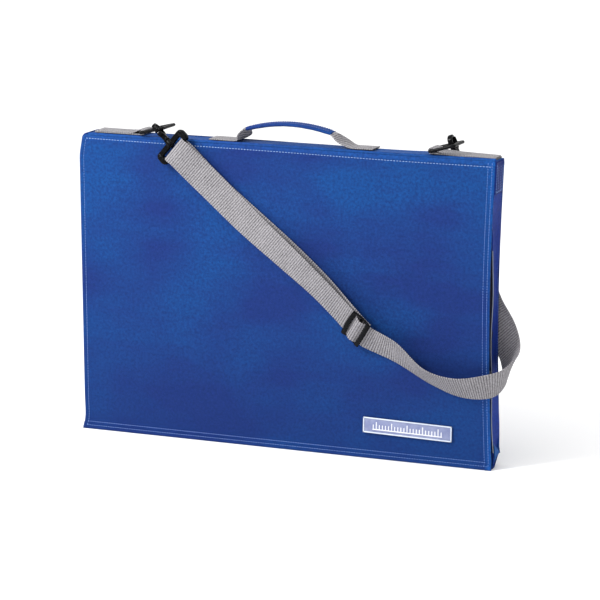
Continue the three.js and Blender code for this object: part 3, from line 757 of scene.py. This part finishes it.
# ---- Badge: a plain name plate with a ruler-like row of ticks ----
def make_badge():
    low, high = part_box("badge")
    centre = (low + high) / 2
    tilt = radians(-0.86)
    along, up = (cos(tilt), 0, sin(tilt)), (-sin(tilt), 0, cos(tilt))
    face = Holder((centre.x, high.y, centre.z), along, up)
    wide, tall, rim = 0.112, 0.019, 0.0016

    def plate(name, boxes, material, nodes=()):
        """Boxes on the panel: width, height, thickness, and the middle's place along and up."""
        parts = []
        for w, h, d, u, v in boxes:
            points, faces = rounded_box((0, 0, 0), (w, h, d), min(w, h, d) * 0.3)
            parts.append((face.place(points + vec(u, v, d / 2)), faces))
        make_piece(name, merged(parts), material, nodes)

    plate("badge_plate", [(wide, tall, 0.0009, 0, 0)], badge_field, ["badge"])
    rails = [(wide, rim, rim, 0, s * (tall - rim) / 2) for s in (-1, 1)]
    posts = [(rim, tall, rim, s * (wide - rim) / 2, 0) for s in (-1, 1)]
    plate("badge_rim", rails + posts, badge_frame)
    base, spacing, thin = -0.0046, 0.0039, 0.0013
    ticks = [(0.088, 0.0014, thin, 0, base)]
    for i in range(23):
        height = 0.0092 if i % 5 == 1 else 0.0058
        ticks.append((thin, height, thin, (i - 11) * spacing, base + height / 2))
    plate("badge_ticks", ticks, badge_white)


# ---- Webbing ----
# The section, from an edge to the middle and on: shares of the half width and of the half thickness.
SECTION = [(-1, 0.3), (-0.985, 0.85), (-0.95, 1.12), (-0.9, 1.1), (-0.87, 0.9), (-0.6, 1), (-0.3, 1)]
SECTION = np.array([*SECTION, (0, 1), *((-t, h) for t, h in SECTION[::-1])])
SELVEDGE = 0.89  # where the raised edge starts, as a share of the half width


def webbing(name, upper, lower, nodes, body="case", curl=None):
    """A ribbed webbing strip between two edge curves; also gives its length.

    curl is (shares of the length, how far the middle stands off the edges there)."""
    middle = (upper + lower) / 2
    along = lengths(middle)
    at = np.linspace(0, along[-1], max(8, int(along[-1] / RIB * 4)))
    centre = resampled(middle, along, at)
    across = unit(resampled(upper - lower, along, at))
    normal = unit(np.cross(np.gradient(centre, axis=0), across))
    half = np.interp(at, along, np.linalg.norm(upper - lower, axis=1)) / 2
    t, h = SECTION[:, 0], SECTION[:, 1] * WEB / 2
    edge = np.abs(t) >= SELVEDGE
    ribs = 0.0002 * np.cos(2 * pi * at / RIB)[:, None] * ~edge
    ribs = ribs + 0.0001 * np.cos(4 * pi * at / RIB)[:, None] * edge
    base = centre[:, None] + across[:, None] * (half[:, None] * t)[..., None]
    if curl is not None:
        stand = np.interp(at / along[-1], *curl)
        base = base + normal[:, None] * (stand[:, None] * (1 - t ** 2))[..., None]
    lift = normal[:, None] * (h + ribs)[..., None]
    uv = xyz((t + 1) * half[:, None], at[:, None], 0)[..., :2].reshape(-1, 2)
    shape = slab(base + lift, -2 * lift)
    piece = make_piece(name, shape, webbing_grey, nodes, body, np.concatenate([uv, uv]))
    return piece, along[-1]


# The strap's stations, from the left hook round to the right hook, in millimetres: the upper edge's
# x, y and z, then the lower edge's.
OUTER_RUN = (
    (-118, -30.2, 367, -141.1, -30.2, 340.7),
    (-100, -25, 350, -124, -25, 323),
    (-76, -22, 328, -101, -22, 302),
    (-32, -22, 288.9, -55, -21.3, 262.9),
    (18.8, -30, 250, -4.2, -21.3, 225),
    (65.3, -36, 212.8, 42.3, -21.6, 190.3),
)
# It lies under the outer run, and is listed from the left hook too.
INNER_RUN = (
    (-117, -23.9, 366.1, -140.2, -23.9, 339.9),
    (-100, -21, 348.9, -123, -21, 323),
    (-77, -19.4, 326.8, -100.5, -19.4, 302.5),
    (-30, -19.3, 289.8, -52, -19.3, 264.9),
    (19.5, -21, 251.8, -2.3, -19.3, 229),
    (61.6, -24, 216.8, 40.5, -19.3, 193.6),
    (91.8, -33.9, 192.2, 72.9, -19.3, 166.7),
)
FRONT_RUN = (
    (153, -40, 149, 145, -20, 121),
    (191, -46, 121, 191, -20, 98),
    (227, -43, 113, 228, -20, 86),
    (260, -35, 118, 260, -19.5, 87),
)
SIDE_LOOP = (
    (279, -27, 124, 271, -13, 92),
    (289, -14, 134, 276, 0, 104),
    (291.5, 1, 141, 267.5, 12.5, 114.5),
    (288.5, 12, 152.5, 261.5, 19.5, 126),
)
BACK_RUN = (
    (279.5, 18.6, 172, 250, 21.8, 145.5),
    (260, 22, 203, 229.2, 22, 186.2),
    (245.5, 25, 250, 212.5, 25, 238.4),
    (237, 30, 303, 204, 30, 291.4),
    (229.5, 34.7, 348.1, 196.7, 34.5, 336.2),
)
SEWN_END = (
    (230.1, 28.5, 346.7, 197.3, 28.3, 334.7),
    (233.5, 28.3, 330, 200.8, 28.3, 318),
    (239.5, 27.6, 305, 206.8, 27.6, 293),
)


FRAME_ACROSS = {"left": (0.66, 0, 0.75), "right": (0.93, 0, 0.36)}
GLIDE = Holder((0.1001, -0.0326, 0.1599), (-0.62, 0.42, -0.66), (0.79, -0.06, -0.62))
BAR_Y = -0.0053  # the strap frame's outer bar
WRAP_R = 0.0032  # the strap's middle line round that bar


def strap_holder(side):
    swivel = joints[f"{side}_hook_swivel"]
    return Holder(swivel["pos_m"], FRAME_ACROSS[side], swivel["axis"])


def hook_holder(side):
    swivel, gate = joints[f"{side}_hook_swivel"], joints[f"{side}_gate_swing"]
    return Holder(swivel["pos_m"], np.cross(swivel["axis"], -vec(*gate["axis"])), swivel["axis"])


def in_metres(*runs):
    """Stations as pairs of an upper and a lower point."""
    return [vec(*station).reshape(2, 3) / 1000 for run in runs for station in run]


def across_stations(holder, profile, upper_is, shift=0):
    """Strap stations for a profile in a holder's (y, z), full width across it."""
    return [
        tuple(holder.place((s * STRAP_W / 2 + shift, y, z)) for s in (upper_is, -upper_is))
        for y, z in profile
    ]


def wrap(side):
    """Round the outer bar of a strap frame, from one side of it to the other."""
    angles = [-pi / 2 + pi * i / 6 for i in range(7)]
    profile = [(BAR_Y + WRAP_R * cos(a), WRAP_R * sin(a)) for a in angles]
    return across_stations(strap_holder(side), profile, 1)


def make_strap():
    under = [(0.012, -0.0042), (0.002, -0.0046)]
    over = [(-0.0165, -0.003), (-0.0107, -0.0018), (-0.007, -0.0003), (-0.0036, 0.002), (0, 0.003)]
    over += [(-y, z) for y, z in over[-2::-1]]
    stations = [
        *across_stations(GLIDE, under, -1),
        *in_metres(INNER_RUN[::-1]),
        *wrap("left"),
        *in_metres(OUTER_RUN),
        *across_stations(GLIDE, over, -1, shift=0.0012),
        *in_metres(FRONT_RUN, SIDE_LOOP, BACK_RUN),
        *wrap("right"),
        *in_metres(SEWN_END),
    ]
    edges = [curve([s[k] for s in stations]) for k in (0, 1)]
    parts = ("bend_left", "bend_right", "outer_run", "inner_run", "front_run")
    parts += ("side_loop", "back_run", "sewn_end", "glide_wrap")
    strap, length = webbing("shoulder_strap", *edges, [f"strap_{n}" for n in parts])


# ---- Moulded and wire hardware ----
def rounded_loop(width, length, corner, step, steps=8):
    """Evenly spaced points round a rectangle with round corners, in the local XY plane."""
    parts = []
    for cx, cy, start in ((1, -1, -90), (1, 1, 0), (-1, 1, 90), (-1, -1, 180)):
        a = np.radians(start + 90 * np.arange(steps) / (steps - 1))
        x = cx * (width / 2 - corner) + corner * np.cos(a)
        parts.append(xyz(x, cy * (length / 2 - corner) + corner * np.sin(a), 0))
    loop = np.concatenate([*parts, parts[0][:1]])
    along = lengths(loop)
    return resampled(loop, along, np.linspace(0, along[-1], int(along[-1] / step), endpoint=False))


def superellipse(count, power_c, power_s):
    """Cosines and sines of a round section; powers below 1 square its corners."""
    a = np.arange(count) * 2 * pi / count
    c, s = np.cos(a), np.sin(a)
    return np.sign(c) * np.abs(c) ** power_c, np.sign(s) * np.abs(s) ** power_s


def sweep(path, half_wide, half_tall, closed=False, around=16, power=1):
    """A rounded section along a path; half_wide lies in the path's XY plane, half_tall along Z."""
    if closed:
        ahead = unit(np.roll(path, -1, 0) - np.roll(path, 1, 0))
    else:
        ahead = unit(np.gradient(path, axis=0))
    side = unit(np.cross(ahead, vec(0, 0, 1)))
    top = np.cross(side, ahead)
    c, s = superellipse(around, power, power)
    wide = np.broadcast_to(half_wide, len(path))[:, None] * c
    tall = np.broadcast_to(half_tall, len(path))[:, None] * s
    rings = path[:, None] + side[:, None] * wide[..., None] + top[:, None] * tall[..., None]
    return tube(rings, closed)


def lathe(profile, around=28):
    """A solid turned about the local Y axis, from (radius, y) pairs."""
    a = np.arange(around) * 2 * pi / around
    return tube(np.array([xyz(r * np.cos(a), y, r * np.sin(a)) for r, y in profile]))


def hardware(name, holder, parts, body, node, voxel=None, smoothing=0):
    """Black hardware from local shapes; with a voxel size they are melted into one filleted skin."""
    shape = merged([(holder.place(points), faces) for points, faces in parts])
    piece = make_piece(name, shape, hardware_black, [node], body)
    if voxel is None:
        return
    remesh = piece.modifiers.new("fuse", "REMESH")
    remesh.mode = "VOXEL"
    remesh.voxel_size = voxel
    soften = piece.modifiers.new("soften", "SMOOTH")
    soften.factor = 0.5
    soften.iterations = smoothing
    ready = piece.evaluated_get(bpy.context.evaluated_depsgraph_get())
    skin = bpy.data.meshes.new_from_object(ready)
    piece.modifiers.clear()
    piece.data = skin
    skin.polygons.foreach_set("use_smooth", [True] * len(skin.polygons))


WIRE = 0.002  # radius of the ring's wire


def make_ring(side):
    node = f"{side}_ring"
    low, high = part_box(node)
    length, width = 0.031, 0.0365
    tilt = asin((high.z - low.z - 2 * WIRE) / length)
    pivot = joints[f"{side}_ring_swing"]["pos_m"]
    holder = Holder(pivot, (cos(tilt), 0, sin(tilt)), (0, 1, 0))
    loop = rounded_loop(length, width, 0.0034, 0.0008) + vec(length / 2, 0, 0)
    hardware(f"{node}_wire", holder, [sweep(loop, WIRE, WIRE, closed=True, around=20)], node, node)


def make_strap_frame(side):
    """A moulded loop: slim where the strap folds round it, heavy towards the hook and at its ends."""
    node = f"{side}_strap_frame"
    loop = rounded_loop(0.041, 0.0106, 0.003, 0.0005, 10)
    heavy = ramp(-0.002, 0.003, loop[:, 1])
    ends = ramp(0.0172, 0.0195, np.abs(loop[:, 0]))
    wide = 0.0019 + np.maximum(0.0015 * heavy, 0.0021 * ends)
    tall = 0.0022 + np.maximum(0.0009 * heavy, 0.0019 * ends)
    rim = sweep(loop, wide, tall, closed=True, power=0.55)
    bush = [(0.0046, 0.003), (0.0048, 0.0045), (0.0046, 0.008), (0.0042, 0.0102), (0.0036, 0.0108)]
    bush += [(0.0024, 0.0108), (0.0024, 0.0035), (0.0024, 0.003)]
    hardware(f"{node}_moulding", strap_holder(side), [rim, lathe(bush)], "case", node, 0.00042, 3)


HOOK_R = 0.0069  # middle line of the hook's round end
HOOK_TOP = 0.03  # its centre, along the hook


def hook_path():
    """Middle line of the hook's open ring, from the foot of the gate round to the nose."""
    line = [(-HOOK_R, 0.024), (-0.0062, 0.0222), (-0.004, 0.0208), (0, 0.0204), (0.004, 0.0208)]
    line += [(0.0063, 0.0226), (HOOK_R, 0.0262), (HOOK_R, HOOK_TOP)]
    line += [(HOOK_R * cos(a), HOOK_TOP + HOOK_R * sin(a)) for a in np.radians(range(18, 145, 18))]
    return curve([(x, y, 0) for x, y in line], 8)


def make_hook(side):
    node, gate = f"{side}_hook", f"{side}_gate"
    holder = hook_holder(side)
    path = hook_path()
    share = lengths(path) / lengths(path)[-1]
    wide = 0.0017 + 0.0003 * ridge(share, 0.25, 0.12)
    tall = 0.003 - 0.0007 * ramp(0.86, 1, share)
    ring = sweep(path, wide, tall, power=0.5)
    shank = [(0.0002, 0.0012), (0.003, 0.0012), (0.0031, 0.002), (0.0019, 0.0024), (0.0019, 0.011)]
    shank += [(0.0038, 0.0113), (0.004, 0.0126), (0.0029, 0.0138), (0.0027, 0.018), (0.0033, 0.021)]
    shank.append((0.0002, 0.0214))
    neck_line = xyz(0, vec(0.0125, 0.015, 0.0185, 0.0208), 0)
    neck = sweep(neck_line, vec(0.0026, 0.0028, 0.0034, 0.0046), 0.0032, power=0.5)
    hardware(f"{node}_moulding", holder, [ring, lathe(shank, 24), neck], node, node, 0.0004, 2)

    foot, tip = (-HOOK_R, 0.025, 0), (-HOOK_R - 0.0001, 0.0332, 0)
    leaf_line = curve([foot, (tip[0], 0.029, 0), tip], 8)
    leaf = sweep(leaf_line, np.linspace(0.0015, 0.0012, len(leaf_line)), 0.0031, power=0.5)
    lug_line = curve([(-0.0078, 0.0268, 0), (-0.0092, 0.0275, 0), (-0.0101, 0.0286, 0)], 6)
    lug = sweep(lug_line, 0.001, 0.002, power=0.7)
    hardware(f"{gate}_leaf", holder, [leaf, lug], gate, gate, 0.0003, 2)


def make_glide():
    """The adjuster: two broad bowed outer bars and a round middle bar, joined by low side rails."""
    reach = 0.0107  # from the middle bar to an outer bar
    x = np.linspace(-0.0205, 0.0205, 40)
    bow = 0.0009 * np.cos(x / 0.0215 * pi / 2)
    y = np.linspace(-reach, reach, 24)
    parts = []
    for sign in (-1, 1):
        bar = xyz(x, sign * (reach + bow), 0.0011 + bow)
        parts.append(sweep(bar, 0.003, 0.0015, around=20, power=0.6))
        rail = xyz(sign * 0.0199, y, -0.0006 + 0.0014 * (y / reach) ** 2)
        parts.append(sweep(rail, 0.0014, 0.0011, power=0.7))
    parts.append(sweep(xyz(x, 0, -0.0008), 0.0015, 0.0013))
    hardware("adjuster_moulding", GLIDE, parts, "case", "tri_glide", 0.0004, 3)


# ---- Ring tabs and handle ----
TAB_BASE = TOP + 0.0003 + WEB / 2  # middle line of webbing that lies on the case's top
TAB_ROW = np.linspace(-TAB_W / 2 + 0.003, TAB_W / 2 - 0.003, 40)


def tab_row(x, y, z):
    """A straight row for sew(), on webbing that lies on top of the case."""
    return xyz(x, y, z), vec(0, 0, 1), TAB_STITCH


def make_ring_tab(side):
    """A folded webbing tab round the ring's hinge side, sewn flat to the top."""
    node = f"{side}_ring_tab"
    px, _, pz = joints[f"{side}_ring_swing"]["pos_m"]
    away = 1 if side == "right" else -1
    end = RIGHT - 0.002 if side == "right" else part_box(node)[0].x
    radius = WIRE + 0.0003 + WEB / 2
    upper = TAB_BASE + WEB + 0.0001
    route = [(end, TAB_BASE), (px + away * 0.014, TAB_BASE), (px + away * 0.004, TAB_BASE)]
    for i in range(9):
        angle = -pi / 2 - away * pi * i / 8
        route.append((px + radius * cos(angle), pz + radius * sin(angle)))
    route += [(px + away * 0.0045, pz + radius - 0.0008), (px + away * 0.012, upper + 0.0006)]
    route += [(px + away * 0.02, upper), (end - away * 0.001, upper)]
    line = curve([(x, 0, z - top_sag(x, 0)) for x, z in route], 10)
    half = vec(0, TAB_W / 2, 0)
    webbing(f"{node}_webbing", line + half, line - half, [node])
    top = upper + WEB / 2 + 0.0001
    near, far = px + away * 0.018, end - away * 0.006
    x_row = np.linspace(near, far, 60)
    rows = [tab_row(x, TAB_ROW, top - top_sag(x, 0)) for x in (near, far)]
    rows += [tab_row(x_row, y, top - top_sag(x_row, 0)) for y in (TAB_ROW[0], TAB_ROW[-1])]
    sew(f"{node}_stitching", rows, thread_grey)


GRIP_ENDS = (-0.052, 0.058)
GRIP_MIDDLE = (GRIP_ENDS[0] + GRIP_ENDS[1]) / 2
GRIP_HALF = (GRIP_ENDS[1] - GRIP_ENDS[0]) / 2
GRIP_RISE = 0.008
GRIP_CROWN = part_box("handle_grip")[1].z - 0.0025


def grip_arc(x):
    """Height of the grip's middle line."""
    u = (x - GRIP_MIDDLE) / GRIP_HALF
    return GRIP_CROWN - GRIP_RISE * u * u


def make_grip():
    """A sleeve of the case's cloth, flattened, with a closing seam underneath and turned-in ends."""
    x = np.linspace(*GRIP_ENDS, 64)
    line = xyz(x, 0, grip_arc(x))
    ahead = unit(np.gradient(line, axis=0))
    side = vec(0, 1, 0)
    up = np.cross(ahead, side)
    up = up * np.sign(up[:, 2:])
    c, s = superellipse(36, 0.9, 0.75)
    seam = 1 + 0.16 * ridge(np.arange(36) * 2 * pi / 36, 1.5 * pi, 0.2)
    u = (x - GRIP_MIDDLE) / GRIP_HALF
    swell = 1 - 0.1 * np.abs(u) ** 6 + 0.012 * np.sin(x * 310) + 0.01 * np.sin(x * 517 + 1)
    hem = 0.00025 * ridge(np.abs(u), 0.96, 0.015)

    def skin(half_wide, half_tall):
        rings = line[:, None] + side * ((half_wide * swell)[:, None] * c)[..., None]
        tall = (half_tall * swell + hem)[:, None] * (s * seam)
        return rings + up[:, None] * tall[..., None]

    rings = np.concatenate([skin(0.009, 0.0026), skin(0.0078, 0.0016)[::-1]])
    shape = tube(rings, closed=True)
    grip = make_piece("handle_grip_cloth", shape, nylon_grip, ["handle_grip"], "handle")
    paths = [line + side * (sign * 0.006) + up * 0.00225 for sign in (-1, 1)]
    rows = [(path[2:-2], up[2:-2], GRIP_STITCH) for path in paths]
    sew("handle_grip_stitching", rows, thread_dark, "handle")
    inset = 0.001
    core = np.linspace(GRIP_ENDS[0] + inset, GRIP_ENDS[1] - inset, 40)
    middle = xyz(core, 0, grip_arc(core))
    half = vec(0, 0.0068, 0)
    webbing("handle_core_webbing", middle + half, middle - half, ["handle_core"], "handle")


def make_leg(side):
    """One piece of webbing: a flat anchor on the top, then a leg that narrows into the grip."""
    sign = -1 if side == "left" else 1
    low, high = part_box(f"{side}_handle_anchor")
    outer_x = low.x if sign < 0 else high.x - 0.004
    foot = high.x if sign < 0 else low.x
    grip_x = GRIP_ENDS[0] if sign < 0 else GRIP_ENDS[1]
    inside = grip_x - sign * 0.007
    rise = grip_arc(grip_x) - TAB_BASE
    turned = 0.42 if sign < 0 else 0.24
    # Each station: x, height, half width, and how far the webbing is turned about the vertical.
    stations = (
        (outer_x, TAB_BASE, TAB_W / 2, 0),
        ((outer_x + foot) / 2, TAB_BASE, TAB_W / 2, 0),
        (foot + sign * 0.004, TAB_BASE, TAB_W / 2, 0),
        (foot, TAB_BASE + 0.0008, TAB_W / 2, 0.1 * turned),
        (foot + (grip_x - foot) * 0.5, TAB_BASE + rise * 0.45, 0.0122, turned),
        (grip_x + sign * 0.001, TAB_BASE + rise * 0.93, 0.0085, 0.6 * turned),
        (inside, grip_arc(inside), 0.00675, 0),
    )
    x, z, half, turn = np.array(stations).T
    edges = [curve(xyz(x + s * half * np.sin(turn), s * half * np.cos(turn), z)) for s in (1, -1)]
    curl = ((0, 0.62, 0.82, 1), (0, 0, 0.0026 * -sign, 0.0008 * -sign))
    nodes = [f"{side}_handle_anchor", f"handle_leg_{side}"]
    leg, _ = webbing(f"handle_{side}_webbing", *edges, nodes, None, curl)
    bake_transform(leg)
    top = TAB_BASE + WEB / 2 + 0.0001
    rows = [tab_row(x, TAB_ROW, top) for x in (outer_x - sign * 0.003, foot + sign * 0.006)]
    sew(f"handle_{side}_stitching", rows, thread_grey)


# ---- CAD nodes that keep their shape ----
def dress_cad_nodes():
    """The zip's slider, pull and stops get their material and softer edges."""
    for name in ("zip_slider", "zip_pull", "zip_bottom_stop", "zip_top_stop_front", "zip_top_stop_back"):
        node = frame["nodes"][name]
        node.data.materials.clear()
        node.data.materials.append(zip_dark)
        weld = node.modifiers.new("weld", "WELD")
        weld.merge_threshold = 1e-5
        bevel = node.modifiers.new("bevel", "BEVEL")
        bevel.width = 0.0002
        bevel.segments = 2
        bevel.limit_method = "ANGLE"


make_strap()
for make in (make_board, make_panel, make_panel_stitching):
    make("front", -1)
    make("back", 1)
make_gussets()
make_right_gusset()
make_side_patch()
make_corner_tuck()
make_zip()
make_badge()
for side in ("left", "right"):
    make_ring(side)
    make_strap_frame(side)
    make_hook(side)
    make_ring_tab(side)
    make_leg(side)
make_grip()
make_glide()
dress_cad_nodes()


# ---- Floor and light ----
def lamp(name, kind, place, energy, **settings):
    """A light aimed at the middle of the case."""
    data = bpy.data.lights.new(name, kind)
    data.energy = energy
    for key, value in settings.items():
        setattr(data, key, value)
    aim(add_object(name, data), place, Vector((0, 0, TOP / 2)) - Vector(place))


def make_stage():
    look = Nodes("floor_white", Roughness=0.9, Specular_IOR_Level=0)
    tone = look.stretch(look.noise(look.coordinates(), 3), 0.3, 0.7)
    color = look.mix(tone, (0.955, 0.955, 0.955), (0.97, 0.97, 0.97))
    size, below = 30, -0.0002
    corners = [(-size, -size), (size, -size), (size, size), (-size, size)]
    mesh = bpy.data.meshes.new("floor")
    mesh.from_pydata([(x, y, below) for x, y in corners], [], [(0, 1, 2, 3)])
    mesh.materials.append(look.finish(color))
    add_object("floor", mesh)

    world = bpy.data.worlds.new("studio")
    world.use_nodes = True
    backdrop = world.node_tree.nodes["Background"]
    backdrop.inputs["Color"].default_value = (1, 1, 1, 1)
    backdrop.inputs["Strength"].default_value = 1
    bpy.context.scene.world = world
    lamp("key", "AREA", (-0.95, -1.15, 1.45), 34, size=0.5)
    lamp("sky", "SUN", (-0.6, -0.8, 2.6), 0.5, angle=radians(40))
    bpy.context.scene.view_settings.view_transform = "Standard"


make_stage()
